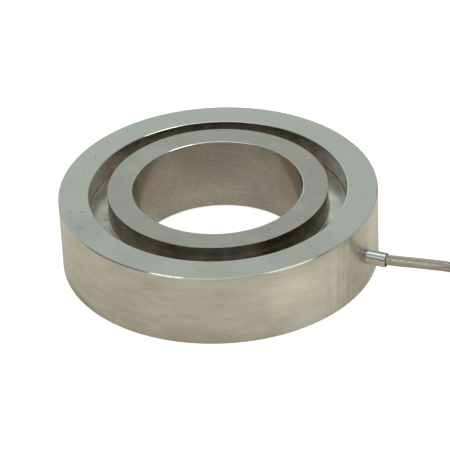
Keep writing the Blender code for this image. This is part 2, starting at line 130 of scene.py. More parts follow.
# Each lead's colour, its side and level in the sleeve, and its route in mm
STRIPPED_LEADS = {
    "red": ((0.45, 0.02, 0.02), (1, 1),
            ((5.0, 1.6, 1.9), (12.0, 4.4, 0.75), (19.0, 6.6, 0.5), (26.0, 8.4, 0.5))),
    "black": ((0.02, 0.02, 0.02), (1, -1),
              ((5.0, 0.9, 1.0), (12.0, 1.9, 0.5), (19.0, 2.3, 0.5), (25.0, 2.2, 0.5))),
    "green": ((0.02, 0.22, 0.07), (-1, -1),
              ((5.0, -0.9, 1.0), (12.0, -1.7, 0.5), (19.0, -2.6, 0.5), (26.0, -3.9, 0.5))),
    "white": ((0.75, 0.74, 0.7), (-1, 1),
              ((5.0, -1.6, 1.9), (12.0, -4.3, 0.75), (18.0, -6.9, 0.5), (24.0, -9.3, 0.5))),
}

# Studio: the floor's own light, and the panels that the metal reflects, each an azimuth, an
# elevation, how far it is full and where it is gone, in degrees, and its colour
FLOOR_SIZE = 16.0
FLOOR_GLOW_SEEN = 0.76
FLOOR_GLOW_MIRRORED = 0.27
PANELS = (
    (-140, 14, 10, 26, (0.14, 0.15, 0.145)),
    (-178, 37, 8, 20, (0.27, 0.28, 0.275)),
    (-6, 41, 5, 13, (0.31, 0.32, 0.31)),
    (12, 31, 6, 16, (0.5, 0.51, 0.46)),
    (-90, 57, 11, 24, (0.64, 0.71, 0.73)),
    (-108, 48, 5, 15, (0.8, 0.88, 0.9)),
    (-102, 66, 3, 7, (0.3, 0.33, 0.34)),
    (-104, 19, 4, 8, (0.13, 0.14, 0.135)),
    (-121, 31, 5, 11, (1.42, 1.42, 1.32)),
    (-124, 8, 8, 16, (1.0, 0.95, 0.86)),
    (90, 22, 8, 46, (0.83, 0.91, 0.88)),
    (60, 12, 14, 24, (0.28, 0.29, 0.26)),
    (66, 46, 5, 12, (0.38, 0.4, 0.39)),
    (130, 76, 8, 13, (0.85, 0.92, 0.92)),
    (35, 17, 10, 22, (0.55, 0.6, 0.58)),
    (145, 17, 10, 22, (0.55, 0.6, 0.58)),
    (50, 84, 6, 18, (1.05, 1.2, 1.25)),
    (-32, 49, 8, 17, (1.35, 1.32, 1.2)),
)

# Camera, fitted to the photograph's circles
FOCAL_LENGTH = 218.29
CAMERA_AT = (0.0, -0.731401, 0.488896)
CAMERA_RIGHT = (0.998923, -0.027063, -0.037701)
CAMERA_UP = (0.046365, 0.546921, 0.8359)
CAMERA_BACK = (-0.002003, -0.836747, 0.547586)

# Finishes of a turned piece, in the order of its materials
FINISH_COUNT = 7
GROUND, LOAD_FACE, WALL, EDGE, GROOVE, BORE, INSIDE = range(FINISH_COUNT)


def add(tree, kind, inputs=None, **settings):
    """A node with its settings made and its inputs given values or linked."""
    made = tree.nodes.new(kind)
    for key, value in settings.items():
        setattr(made, key, value)
    for key, value in (inputs or {}).items():
        if isinstance(value, bpy.types.NodeSocket):
            tree.links.new(value, made.inputs[key])
        else:
            made.inputs[key].default_value = value
    return made


def out(tree, kind, inputs=None, **settings):
    """The first output of a new node."""
    return add(tree, kind, inputs, **settings).outputs[0]


def calc(tree, operation, *values, clamp=False):
    """The result of a Math node."""
    return out(tree, "ShaderNodeMath", dict(enumerate(values)), operation=operation,
               use_clamp=clamp)


def vmath(tree, operation, *values):
    """The result of a Vector Math node: a value for a length or a dot product, else a vector."""
    made = add(tree, "ShaderNodeVectorMath", dict(enumerate(values)), operation=operation)
    return made.outputs["Value" if operation in ("LENGTH", "DOT_PRODUCT") else "Vector"]


def fit(tree, value, low, high, start=0.0, end=1.0):
    """The value eased from low..high to start..end."""
    return out(tree, "ShaderNodeMapRange", {
        "Value": value, "From Min": low, "From Max": high, "To Min": start, "To Max": end},
        interpolation_type="SMOOTHSTEP")


def split(tree, vector):
    """The three parts of a vector."""
    return add(tree, "ShaderNodeSeparateXYZ", {0: vector}).outputs


def spread(tree, value, low, high):
    """A noise value, which mostly lies between 0.3 and 0.7, eased over low..high."""
    return fit(tree, value, 0.3, 0.7, low, high)


def mix(tree, share, first, second):
    """A mix of two colours, each a socket or red, green and blue."""
    sides = [side if isinstance(side, bpy.types.NodeSocket) else (*side, 1.0)
             for side in (first, second)]
    made = add(tree, "ShaderNodeMix", {0: share, 6: sides[0], 7: sides[1]}, data_type="RGBA")
    return made.outputs[2]


def noise(tree, vector, scale, detail=2.0, roughness=0.5, distortion=0.0):
    """The value of a Noise Texture."""
    return out(tree, "ShaderNodeTexNoise", {
        "Vector": vector, "Scale": scale, "Detail": detail, "Roughness": roughness,
        "Distortion": distortion})


def effect(name, inputs, outputs):
    """A shader node group with its named sockets: the tree, what comes in and what goes out."""
    tree = bpy.data.node_groups.new(name, "ShaderNodeTree")
    for title, value in inputs.items():
        kind = "NodeSocketVector" if isinstance(value, tuple) else "NodeSocketFloat"
        socket = tree.interface.new_socket(name=title, in_out="INPUT", socket_type=kind)
        socket.default_value = value
    for title in outputs:
        tree.interface.new_socket(name=title, in_out="OUTPUT", socket_type="NodeSocketFloat")
    return tree, tree.nodes.new("NodeGroupInput").outputs, tree.nodes.new("NodeGroupOutput").inputs


def place(tree, group, inputs):
    """Places a shared effect in a material."""
    return add(tree, "ShaderNodeGroup", inputs, node_tree=group).outputs


def turning_marks():
    """Lines left by a lathe or grinder: fine ones, and broader bands of them."""
    tree, given, result = effect("turning_marks", {
        "Position": ORIGIN, "Across": 0.0, "Pitch": 4000.0, "Run": 40.0}, ("Fine", "Bands"))
    slow = out(tree, "ShaderNodeVectorMath", {0: given["Position"], "Scale": given["Run"]},
               operation="SCALE")
    apart = split(tree, slow)
    across = calc(tree, "MULTIPLY", given["Across"], given["Pitch"])
    for title, share, detail in (("Fine", 1.0, 3.0), ("Bands", 0.16, 2.0)):
        line = calc(tree, "MULTIPLY", across, share)
        where = out(tree, "ShaderNodeCombineXYZ", {0: apart[0], 1: apart[1], 2: line})
        tree.links.new(noise(tree, where, 1.0, detail, 0.6), result[title])
    return tree


def surface_wear():
    """Soft clouds of handling and cleaning, and small dark pits."""
    tree, given, result = effect("surface_wear", {
        "Position": ORIGIN, "Size": 60.0, "Pit Spacing": 260.0}, ("Clouds", "Pits"))
    clouds = noise(tree, given["Position"], given["Size"], 3.0, 0.55, 0.6)
    tree.links.new(clouds, result["Clouds"])
    cells = add(tree, "ShaderNodeTexVoronoi", {
        "Vector": given["Position"], "Scale": given["Pit Spacing"]}).outputs
    rare = fit(tree, split(tree, cells["Color"])[0], 0.93, 0.94)
    pit = fit(tree, cells["Distance"], 0.16, 0.06)
    tree.links.new(calc(tree, "MULTIPLY", rare, pit), result["Pits"])
    return tree


def soft_spot():
    """A mark of a given reach round a point."""
    tree, given, result = effect("soft_spot", {
        "Position": ORIGIN, "Centre": ORIGIN, "Stretch": (1.0, 1.0, 1.0), "Reach": 0.005,
        "Feather": 0.004}, ("Mask",))
    away = vmath(tree, "SUBTRACT", given["Position"], given["Centre"])
    away = vmath(tree, "MULTIPLY", away, given["Stretch"])
    length = vmath(tree, "LENGTH", away)
    inner = calc(tree, "SUBTRACT", given["Reach"], given["Feather"])
    tree.links.new(fit(tree, length, given["Reach"], inner), result["Mask"])
    return tree


def braid():
    """A braided shield on a cable's own UV map, where u is metres along and v is once round."""
    tree, given, result = effect("braid", {
        "Along": 0.0, "Round": 0.0, "Strands": 16.0, "Lay": 0.011}, ("Height",))
    turns = calc(tree, "DIVIDE", given["Along"], given["Lay"])
    crowns, strands = [], []
    for way in (1.0, -1.0):
        phase = calc(tree, "MULTIPLY_ADD", turns, way, given["Round"])
        phase = calc(tree, "MULTIPLY", phase, given["Strands"])
        crowns.append(calc(tree, "PINGPONG", phase, 0.5))
        strands.append(calc(tree, "FLOOR", phase))
    parity = calc(tree, "ABSOLUTE", calc(tree, "ADD", *strands))
    over = calc(tree, "GREATER_THAN", calc(tree, "MODULO", parity, 2.0), 0.5)
    under = calc(tree, "SUBTRACT", 1.0, over)
    on_top = calc(tree, "ADD", calc(tree, "MULTIPLY", crowns[0], over),
                  calc(tree, "MULTIPLY", crowns[1], under))
    tree.links.new(calc(tree, "MULTIPLY", on_top, 2.0), result["Height"])
    return tree


def polar(radius, angle, z=0.0):
    """A point from its distance to the Z axis, its angle in radians and its height."""
    return Vector((radius * cos(angle), radius * sin(angle), z))


MARKS = turning_marks()
WEAR = surface_wear()
SPOT = soft_spot()
BRAID = braid()


def plain(name, colour, roughness, metallic=0.0, **more):
    """A material, its tree, what feeds its Principled shader, and Object coordinates."""
    made = bpy.data.materials.new(name)
    made.use_nodes = True
    tree = made.node_tree
    shader = tree.nodes["Principled BSDF"]
    shader.inputs["Base Color"].default_value = (*colour, 1.0)
    shader.inputs["Roughness"].default_value = roughness
    shader.inputs["Metallic"].default_value = metallic
    for key, value in more.items():
        shader.inputs[key.replace("_", " ")].default_value = value

    def feed(key, socket):
        tree.links.new(socket, shader.inputs[key])

    return made, tree, feed, add(tree, "ShaderNodeTexCoord").outputs["Object"]


def leaning(tree, position, lean):
    """A normal that gives the reflections of a piece a slope."""
    slope = vmath(tree, "DOT_PRODUCT", position, tuple(lean))
    return out(tree, "ShaderNodeBump", {"Strength": 1.0, "Distance": 1.0, "Height": slope})


def steel(name, colour, roughness, across="height", pitch=4000.0, run=40.0, lines=0.05,
          clouds=0.08, relief=0.3, spots=(), brushed=None, strokes=None, warm=None, tint=None,
          lean=None, pits=0.5):
    """Machined stainless steel, with the marks of its making and use, and with painted reflections
    and painted shade where its spots and tint give them.

    Its lines follow each other in height or in radius. Each spot comes from mark(). Brushed is the
    share of upright lines and the region they are in, strokes the share, size and flatness of soft
    smears, warm a second tone that comes and goes, tint two heights, a colour and its share, lean a
    slope of the reflections and pits how dark the small pits are.
    """
    made, tree, feed, position = plain(name, colour, roughness, 1.0)
    x, y, height = split(tree, position)
    crossing = height
    if across == "radius":
        crossing = calc(tree, "SQRT", calc(tree, "ADD", calc(tree, "MULTIPLY", x, x),
                                           calc(tree, "MULTIPLY", y, y)))
    marks = place(tree, MARKS, {
        "Position": position, "Across": crossing, "Pitch": pitch, "Run": run})
    wear = place(tree, WEAR, {"Position": position})
    shifts = [spread(tree, marks["Fine"], -lines, lines),
              spread(tree, marks["Bands"], -lines * 0.7, lines * 0.7),
              spread(tree, wear["Clouds"], -clouds, clouds)]
    if strokes:
        share, size, flatness = strokes
        smear = vmath(tree, "MULTIPLY", position, (1.0, 1.0, flatness))
        shifts.append(fit(tree, noise(tree, smear, size, 4.0, 0.6), 0.35, 0.65, -share, share))
    if brushed:
        share, where = brushed
        band = vmath(tree, "MULTIPLY", position, (1.0, 1.0, 0.06))
        upright = fit(tree, noise(tree, band, 700.0, 3.0, 0.6), 0.35, 0.65, -share, share)
        there = place(tree, SPOT, {"Position": position, **where})["Mask"]
        shifts.append(calc(tree, "MULTIPLY", upright, there))
    tone = shifts[0]
    for shift in shifts[1:]:
        tone = calc(tree, "ADD", tone, shift)
    base = colour
    if tint:
        clear, full, other, share = tint
        base = mix(tree, fit(tree, height, clear, full, 0.0, share), base, other)
    for where, other, share in spots:
        mask = place(tree, SPOT, {"Position": position, **where})["Mask"]
        base = mix(tree, calc(tree, "MULTIPLY", mask, share), base, other)
    tone = calc(tree, "ADD", tone, 0.5, clamp=True)
    brightness = mix(tree, tone, (0.5, 0.5, 0.5), (1.5, 1.5, 1.5))
    base = vmath(tree, "MULTIPLY", base, brightness)
    if warm:
        drift = vmath(tree, "ADD", position, (0.05, 0.02, 0.03))
        here = fit(tree, noise(tree, drift, 75.0, 3.0, 0.55), 0.38, 0.66)
        base = mix(tree, here, base, vmath(tree, "MULTIPLY", base, warm))
    base = mix(tree, calc(tree, "MULTIPLY", wear["Pits"], pits), base,
               tuple(c * 0.35 for c in colour))
    feed("Base Color", base)
    uneven = 1.5 * lines * roughness
    rough = spread(tree, marks["Fine"], roughness - uneven, roughness + uneven)
    feed("Roughness", calc(tree, "ADD", rough, spread(tree, wear["Clouds"], -0.02, 0.02)))
    level = calc(tree, "SUBTRACT", marks["Fine"], calc(tree, "MULTIPLY", wear["Pits"], 2.0))
    bump = {"Strength": relief, "Distance": 0.01 * MM, "Height": level}
    if lean:
        bump["Normal"] = leaning(tree, position, lean)
    feed("Normal", out(tree, "ShaderNodeBump", bump))
    return made


def eased(corners):
    """Rounds a turned profile. A corner is its radius, its height and the finish after it."""
    points, finishes = [], []
    count = len(corners)
    for index, (radius, height, finish) in enumerate(corners):
        here = Vector((radius, height))
        before = Vector(corners[index - 1][:2]) - here
        after = Vector(corners[(index + 1) % count][:2]) - here
        ease = min(EASE, before.length * 0.4, after.length * 0.4)
        start = here + before.normalized() * ease
        end = here + after.normalized() * ease
        for step in range(EASE_STEPS + 1):
            t = step / EASE_STEPS
            points.append(start.lerp(here, t).lerp(here.lerp(end, t), t))
            finishes.append(EDGE if step < EASE_STEPS and finish != INSIDE else finish)
    return points, finishes


def turning_tree():
    """Turns the profile that comes in about the Z axis and gives each band its finish."""
    tree = bpy.data.node_groups.new("turn_profile", "GeometryNodeTree")
    tree.is_modifier = True
    sockets = [("Profile", "Geometry"), ("Segments", "Int")]
    sockets += [(f"Finish {index}", "Material") for index in range(FINISH_COUNT)]
    for title, kind in sockets:
        tree.interface.new_socket(name=title, in_out="INPUT", socket_type=f"NodeSocket{kind}")
    tree.interface.new_socket(name="Turned", in_out="OUTPUT", socket_type="NodeSocketGeometry")
    given = tree.nodes.new("NodeGroupInput").outputs
    profile, segments = given["Profile"], given["Segments"]
    size = add(tree, "GeometryNodeAttributeDomainSize", {0: profile}, component="MESH")
    count = size.outputs["Point Count"]
    rows = calc(tree, "ADD", count, 1.0)
    grid = out(tree, "GeometryNodeMeshGrid", {
        "Vertices X": calc(tree, "ADD", segments, 1.0), "Vertices Y": rows})
    index = out(tree, "GeometryNodeInputIndex")
    row = calc(tree, "MODULO", calc(tree, "MODULO", index, rows), count)
    turn = calc(tree, "FLOOR", calc(tree, "DIVIDE", calc(tree, "ADD", index, 0.5), rows))
    angle = calc(tree, "MULTIPLY", calc(tree, "DIVIDE", turn, segments), 2 * pi)
    where = out(tree, "GeometryNodeInputPosition")
    sample = out(tree, "GeometryNodeSampleIndex", {0: profile, 1: where, "Index": row},
                 data_type="FLOAT_VECTOR")
    turned = out(tree, "ShaderNodeVectorRotate", {"Vector": sample, "Angle": angle},
                 rotation_type="Z_AXIS")
    shape = out(tree, "GeometryNodeSetPosition", {0: grid, "Position": turned})
    finish = out(tree, "GeometryNodeInputNamedAttribute", {"Name": "finish"}, data_type="INT")
    face_row = calc(tree, "MODULO", index, count)
    band = out(tree, "GeometryNodeSampleIndex", {0: profile, 1: finish, "Index": face_row},
               data_type="INT")
    shape = out(tree, "GeometryNodeStoreNamedAttribute", {
        0: shape, "Name": "finish", "Value": band}, data_type="INT", domain="FACE")
    shape = out(tree, "GeometryNodeMergeByDistance", {0: shape, "Distance": 1e-6})
    shape = out(tree, "GeometryNodeSetShadeSmooth", {0: shape})
    for index in range(FINISH_COUNT):
        same = out(tree, "FunctionNodeCompare", {2: finish, 3: index}, data_type="INT",
                   operation="EQUAL")
        shape = out(tree, "GeometryNodeSetMaterial", {
            0: shape, "Selection": same, "Material": given[f"Finish {index}"]})
    add(tree, "NodeGroupOutput", {0: shape})
    return tree


TURNING = turning_tree()


def link(name, data):
    """A new object in the scene."""
    thing = bpy.data.objects.new(name, data)
    bpy.context.scene.collection.objects.link(thing)
    return thing


def finished(thing, at=None):
    """The object with its modifiers made part of its mesh, and its place put into the mesh."""
    bpy.context.view_layer.update()
    shape = thing.evaluated_get(bpy.context.evaluated_depsgraph_get())
    mesh = bpy.data.meshes.new_from_object(shape)
    thing.modifiers.clear()
    thing.data = mesh
    mesh.name = thing.name
    if at is not None:
        mesh.transform(at)
    return thing


def turned(name, corners, materials, segments, at=None):
    """A lathe-turned piece from the corners of its profile."""
    points, finishes = eased(corners)
    mesh = bpy.data.meshes.new(name)
    count = len(points)
    mesh.from_pydata([(p.x, 0.0, p.y) for p in points],
                     [(i, (i + 1) % count) for i in range(count)], [])
    marks = mesh.attributes.new("finish", "INT", "POINT")
    marks.data.foreach_set("value", finishes)
    thing = link(name, mesh)
    turning = thing.modifiers.new("turning", "NODES")
    turning.node_group = TURNING
    inputs = {item.name: item.identifier for item in TURNING.interface.items_tree
              if item.in_out == "INPUT"}
    turning[inputs["Segments"]] = segments
    for index in range(FINISH_COUNT):
        turning[inputs[f"Finish {index}"]] = materials.get(index, materials[EDGE])
    thing.modifiers.new("even_normals", "WEIGHTED_NORMAL")
    return finished(thing, at)


def along_exit():
    """The place of a piece whose own Z axis is the cable exit."""
    return (Matrix.Translation((0, 0, EXIT_HEIGHT - FERRULE_DROP))
            @ Matrix.Rotation(EXIT_ANGLE, 4, "Z") @ Matrix.Rotation(pi / 2, 4, "Y"))


def region(centre, reach, feather, stretch=(1, 1, 1)):
    """The inputs of a soft spot, with its reach and feather in mm."""
    return {"Centre": tuple(centre), "Stretch": stretch, "Reach": reach * MM,
            "Feather": feather * MM}


def mark(centre, reach, feather, colour, share, stretch=(1, 1, 1)):
    """A soft spot of another colour on steel."""
    return region(centre, reach, feather, stretch), colour, share


def on_ring(radius, angle, height):
    """A point of the ring, with its angle in degrees."""
    return polar(radius, radians(angle), height)


def wall_spots(radius, rows):
    """Marks on a turned wall. A row is an angle, a height in mm and the rest of a mark."""
    return [mark(on_ring(radius, angle, height * MM), *rest) for angle, height, *rest in rows]


def face_spots(height, rows):
    """Marks on a flat face. A row is a radius in mm, an angle and the rest of a mark."""
    return [mark(on_ring(radius * MM, angle, height), *rest) for radius, angle, *rest in rows]


def top_marks():
    """Duller areas, pits and a scratch on the outer ring's ground face."""
    dull = ((25, -38, 20, 17, (0.405, 0.4, 0.378), 0.9),
            (-27, -37, 18, 16, (0.405, 0.41, 0.385), 0.9),
            (-42, -20, 14, 12, (0.39, 0.39, 0.362), 0.85),
            (0, -46, 13, 12, (0.408, 0.415, 0.39), 0.85))
    pits = ((-46.8, -9.7, 0.6, 0.5), (-43.0, -10.0, 0.7, 0.5), (-43.8, -18.6, 0.5, 0.6),
            (-42.9, -19.3, 0.6, 0.6), (-38.1, -22.5, 0.6, 0.5), (-6.6, -46.1, 0.4, 0.8))
    marks = [mark((x * MM, y * MM, RING_HEIGHT), *rest) for x, y, *rest in dull]
    marks += [mark((x * MM, y * MM, RING_HEIGHT), size, size * 0.6, (0.16, 0.15, 0.13), share)
              for x, y, size, share in pits]
    scratch = (-39.2 * MM, 22.5 * MM, RING_HEIGHT)
    return marks + [mark(scratch, 0.35, 0.25, (0.2, 0.19, 0.17), 0.45, (1, 0.12, 1))]


def load_face_marks():
    """Smears and paler areas on the load ring's face."""
    smears = [(radius, angle, size, size * 0.9, (0.31, 0.3, 0.28), 0.5)
              for radius, angle, size in ((33, -24, 4), (33, -33, 3), (32, 12, 4), (31, -118, 5))]
    pale = [(31, 140, 19, 15, (0.378, 0.38, 0.352), 0.9),
            (28.5, -29, 4, 3.5, (0.42, 0.4, 0.37), 0.8)]
    return face_spots(LOAD_RING_TOP, smears + pale)


def wall_marks():
    """Patches of other tones and specks on the outer wall; many of the patches are painted
    reflections and painted shade.
    """
    straw, brown, rose = (0.87, 0.84, 0.74), (0.5, 0.45, 0.39), (0.63, 0.57, 0.49)
    sage, pale_sage, foot_shade = (0.58, 0.605, 0.54), (0.7, 0.73, 0.65), (0.34, 0.35, 0.31)
    dark, speck = (0.25, 0.265, 0.265), (0.2, 0.18, 0.15)
    marks = wall_spots(OUTER_RADIUS, (
        # angle, height, reach, feather, colour, share, stretch
        # Pale straw patches: a painted reflection of brighter floor.
        (-65, 15, 16, 14, straw, 0.75, (1, 1, 1.3)),
        (-20, 17, 14, 11, straw, 0.55, (1, 1, 0.8)),
        (-47, 13, 14, 10, straw, 0.35, (0.7, 0.7, 1)),
        (-35, 10, 10, 8, (0.5, 0.46, 0.4), 0.5, (0.8, 0.8, 0.8)),
        (-30, 19.5, 4.5, 4, rose, 0.6),
        # Pale sage patches low on the right: a painted reflection of the floor beside the foot.
        (-57, 2.5, 7, 4.5, pale_sage, 0.85, (0.5, 0.5, 1)),
        (-44, 7, 5, 4, pale_sage, 0.25, (0.6, 0.6, 1)),
        (-125, 12, 14, 12, (0.57, 0.54, 0.475), 0.8, (1, 1, 0.8)),
        (-76, 12, 4, 3.5, sage, 0.4, (1, 1, 0.7)),
        (-115, 19.6, 4.4, 4, brown, 0.5, (0.45, 0.45, 1)),
        (-92, 17, 5.5, 5, brown, 0.35, (0.6, 0.6, 1)),
        (-140, 17, 9, 8, rose, 0.4, (1, 1, 0.8)),
        # On the left: a sage band along the edge is a painted reflection, and the sage and darker
        # patches at the foot are painted shade.
        (-162, 9, 8, 7, sage, 0.7, (1, 1, 0.5)),
        (-149, 2, 8, 7, sage, 0.7, (0.5, 0.5, 0.8)),
        (-155, 0.5, 4, 3, foot_shade, 0.7, (0.2, 0.2, 1.2)),
        (-102, 1.5, 6, 5, brown, 0.5, (0.35, 0.35, 1)),
        # A bluish patch and three dark spots beside the ferrule: a painted reflection of the
        # ferrule in the wall.
        (-28.5, 12.5, 5, 4, (0.4, 0.44, 0.46), 0.75),
        (-31.2, 15.5, 0.9, 0.7, dark, 0.9),
        (-29.5, 14.3, 0.9, 0.7, dark, 0.9),
        (-28, 13, 0.9, 0.7, dark, 0.9),
    ))
    specks = ((-24.85, -44.31, 6.1, 0.5, 0.5), (-18.35, -47.37, 13.5, 0.4, 1),
              (-24.2, -44.67, 13.8, 0.35, 1))
    return marks + [mark((x * MM, y * MM, z * MM), 0.3, 0.25, speck, share, (1, 1, upright))
                    for x, y, z, share, upright in specks]


def groove_marks():
    """Marks in the groove: on its inner wall, on its outer wall, and in bands at the back; several
    are painted reflections, a painted highlight and painted shade.
    """
    inner = wall_spots(LOAD_RING_RADIUS, (
        # A dark brown patch on the inner wall: a painted reflection.
        (-40, 20, 22, 10, (0.3, 0.28, 0.215), 0.9, (1, 1, 0.7)),
        # A pale blue line along the inner wall's top at the front: a painted highlight.
        (-90, 25, 2.2, 1.8, (0.64, 0.72, 0.73), 0.9, (0.1, 0.1, 1)),
    ))
    outer = wall_spots(GROOVE_RADIUS, (
        (15, 18.5, 11, 9, (0.55, 0.54, 0.475), 0.9, (0.7, 0.7, 1)),
        (150, 20, 17, 9, (0.6, 0.52, 0.44), 0.8),
        (165, 18, 4, 3, (0.56, 0.51, 0.45), 0.6, (0.5, 0.5, 1)),
    ))
    level = (0.03, 0.03, 1)
    # Bands at the back: a brown band that paints a reflection, and a dark band along the top that
    # paints shade.
    back = [mark((5 * MM, 60 * MM, 21 * MM), 2.2, 1.6, (0.58, 0.52, 0.44), 0.6, level),
            mark((0, 60 * MM, 24.6 * MM), 2.3, 1.6, (0.27, 0.29, 0.28), 0.9, level)]
    return inner + outer + back


def bore_marks():
    """Darker and paler areas of the bore, most of them painted reflections, such as the bluish-grey
    patch at the back right.
    """
    return wall_spots(BORE_RADIUS, (
        (95, 21, 15, 12, (0.325, 0.3, 0.255), 0.8, (0.7, 0.7, 1)),
        (130, 12, 10, 8, (0.46, 0.43, 0.37), 0.7, (1, 1, 0.6)),
        (180, 14, 12.5, 4, (0.235, 0.22, 0.165), 0.9, (1, 1, 0.6)),
        (4, 14, 11, 7, (0.325, 0.295, 0.225), 0.8, (1, 1, 0.6)),
        (62, 7, 8, 7, (0.43, 0.415, 0.39), 0.8, (0.8, 0.8, 1)),
        (57, 22.5, 5, 4.5, (0.33, 0.325, 0.305), 0.8, (0.8, 0.8, 1)),
    ))


def edge_nicks():
    """Two small nicks in the broken edge at the front."""
    inset = 0.2 * MM
    return [mark(on_ring(OUTER_RADIUS - inset, angle, RING_HEIGHT - inset), 0.3, 0.2,
                 (0.3, 0.31, 0.3), 0.8) for angle in (-110.5, -106.9)]


def ring_steels():
    """The finishes of the ring: ground faces, turned walls, broken edges, groove and bore."""
    brushed = region(on_ring(OUTER_RADIUS, -36, 12 * MM), 21, 12, (1, 1, 0.6))
    return {
        # The ground face's cool tone is partly a painted reflection of the cool room that it
        # mirrors.
        GROUND: steel("ground_face", (0.445, 0.458, 0.426), 0.28, "radius", 3500.0, run=60.0,
                      lines=0.002, clouds=0.03, relief=0.004, spots=top_marks(),
                      strokes=(0.016, 210.0, 1.0), warm=(1.035, 0.99, 0.96)),
        LOAD_FACE: steel("load_face", (0.355, 0.338, 0.314), 0.28, "radius", 3500.0, run=60.0,
                         lines=0.002, clouds=0.05, relief=0.004, spots=load_face_marks(),
                         strokes=(0.03, 210.0, 1.0), warm=(1.03, 0.985, 0.96)),
        # The turned wall's warm, pale tone is partly a painted reflection of the floor, and its
        # tint, darker towards the foot, is painted shade of the floor's shadow.
        WALL: steel("turned_wall", (0.605, 0.58, 0.51), 0.27, pitch=4500.0, run=35.0,
                    lines=0.012, clouds=0.03, relief=0.04, spots=wall_marks(),
                    brushed=(0.07, brushed), strokes=(0.05, 110.0, 4.0), warm=(1.01, 0.99, 0.95),
                    tint=(5 * MM, 0.0, (0.54, 0.51, 0.45), 0.5), pits=0.15),
        EDGE: steel("broken_edge", (0.6, 0.6, 0.56), 0.1, pitch=4500.0, run=35.0,
                    lines=0.02, clouds=0.03, relief=0.03, spots=edge_nicks()),
        # The groove wall's tint, browner towards the bottom, is a painted reflection.
        GROOVE: steel("groove_wall", (0.53, 0.54, 0.515), 0.24, pitch=5000.0, run=35.0,
                      lines=0.03, clouds=0.08, relief=0.04, spots=groove_marks(),
                      strokes=(0.16, 260.0, 1.2),
                      tint=(23 * MM, 19 * MM, (0.5, 0.41, 0.345), 0.85)),
        # The bore's tint, paler towards the bottom, is painted light.
        BORE: steel("bore_wall", (0.42, 0.39, 0.335), 0.2, pitch=4500.0, run=35.0,
                    lines=0.02, clouds=0.05, relief=0.05, spots=bore_marks(),
                    strokes=(0.07, 600.0, 2.0), warm=(1.05, 0.975, 0.93),
                    tint=(12 * MM, 4 * MM, (0.55, 0.53, 0.465), 0.8)),
        INSIDE: steel("pocket_wall", (0.46, 0.44, 0.38), 0.35, pitch=3000.0, run=30.0),
    }


def cell_body(steels):
    """The outer ring, the web and the load ring, turned in one piece, with the gauge pocket."""
    outer, groove, load, bore = OUTER_RADIUS, GROOVE_RADIUS, LOAD_RING_RADIUS, BORE_RADIUS
    top, load_top, foot = RING_HEIGHT, LOAD_RING_TOP, UNDERSIDE_RELIEF
    corners = (
        (outer - FOOT_BREAK, 0.0, EDGE),
        (outer, FOOT_BREAK, WALL),
        (outer, top - EDGE_BREAK, EDGE),
        (outer - EDGE_BREAK, top, GROUND),
        (groove + INNER_BREAK_WIDTH, top, EDGE),
        (groove, top - INNER_BREAK_DEPTH, GROOVE),
        (groove, SEAT_HEIGHT, INSIDE),
        (groove - SEAT_WIDTH, SEAT_HEIGHT, INSIDE),
        (groove - SEAT_WIDTH, WEB_TOP, INSIDE),
        (load + SEAT_WIDTH, WEB_TOP, INSIDE),
        (load + SEAT_WIDTH, SEAT_HEIGHT, INSIDE),
        (load, SEAT_HEIGHT, GROOVE),
        (load, load_top - FINE_BREAK, EDGE),
        (load - FINE_BREAK, load_top, LOAD_FACE),
        (bore + INNER_BREAK_WIDTH, load_top, EDGE),
        (bore, load_top - INNER_BREAK_DEPTH, BORE),
        (bore, foot + FOOT_BREAK, EDGE),
        (bore + FOOT_BREAK, foot, GROUND),
        (groove, foot, EDGE),
        (groove, 0.0, GROUND),
    )
    body = turned("cell_body_steel", corners, steels, TURNED_SEGMENTS)
    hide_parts("cell_body")
    return body


def groove_cover():
    """The welded cover ring, with a low bead at each foot."""
    brown = (0.26, 0.2, 0.16)
    # The wide darker patches on the left paint reflections of the walls in the cover; the small
    # brown marks and the speck are stains.
    stains_and_reflections = face_spots(COVER_TOP, (
        # radius, angle, reach, feather, colour, share
        (37.2, 183, 8.0, 6.0, (0.35, 0.335, 0.29), 0.9),
        (36.3, 197, 7.0, 6.0, (0.31, 0.285, 0.25), 0.8),
        (36.0, 187, 1.6, 1.3, brown, 0.8),
        (36.1, 183, 0.8, 0.6, brown, 0.7),
        (38.5, 170, 8.0, 7.0, (0.41, 0.39, 0.345), 0.7),
        (38.8, 10, 0.35, 0.3, (0.2, 0.18, 0.15), 0.7),
        (38.5, 15, 9.0, 8.0, (0.48, 0.455, 0.415), 0.7),
    ))
    skin = steel("cover_skin", (0.535, 0.515, 0.475), 0.24, "radius", 2500.0, run=30.0, lines=0.02,
                 clouds=0.06, relief=0.06, spots=stains_and_reflections, strokes=(0.1, 140.0, 1.0))
    oxide = [mark(on_ring(GROOVE_RADIUS, 18, COVER_TOP), 14, 8, (0.2, 0.17, 0.14), 0.6)]
    bead = steel("weld_bead", (0.5, 0.45, 0.37), 0.3, "radius", 3000.0, run=200.0, lines=0.06,
                 clouds=0.15, relief=0.3, spots=oxide)
    low, high = SEAT_HEIGHT + GAP, COVER_TOP + BEAD_RISE
    inner, outer = LOAD_RING_RADIUS, GROOVE_RADIUS
    corners = (
        (outer, low, GROOVE),
        (outer, high, GROOVE),
        (outer - BEAD_WIDTH * 0.5, high, GROOVE),
        (outer - BEAD_WIDTH, COVER_TOP, GROUND),
        (inner + BEAD_WIDTH, COVER_TOP, GROOVE),
        (inner + BEAD_WIDTH * 0.5, high, GROOVE),
        (inner, high, GROOVE),
        (inner, low, INSIDE),
    )
    finishes = {GROUND: skin, GROOVE: bead, EDGE: bead, INSIDE: skin}
    cover = turned("groove_cover_steel", corners, finishes, TURNED_SEGMENTS)
    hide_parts("groove_cover")
    return cover


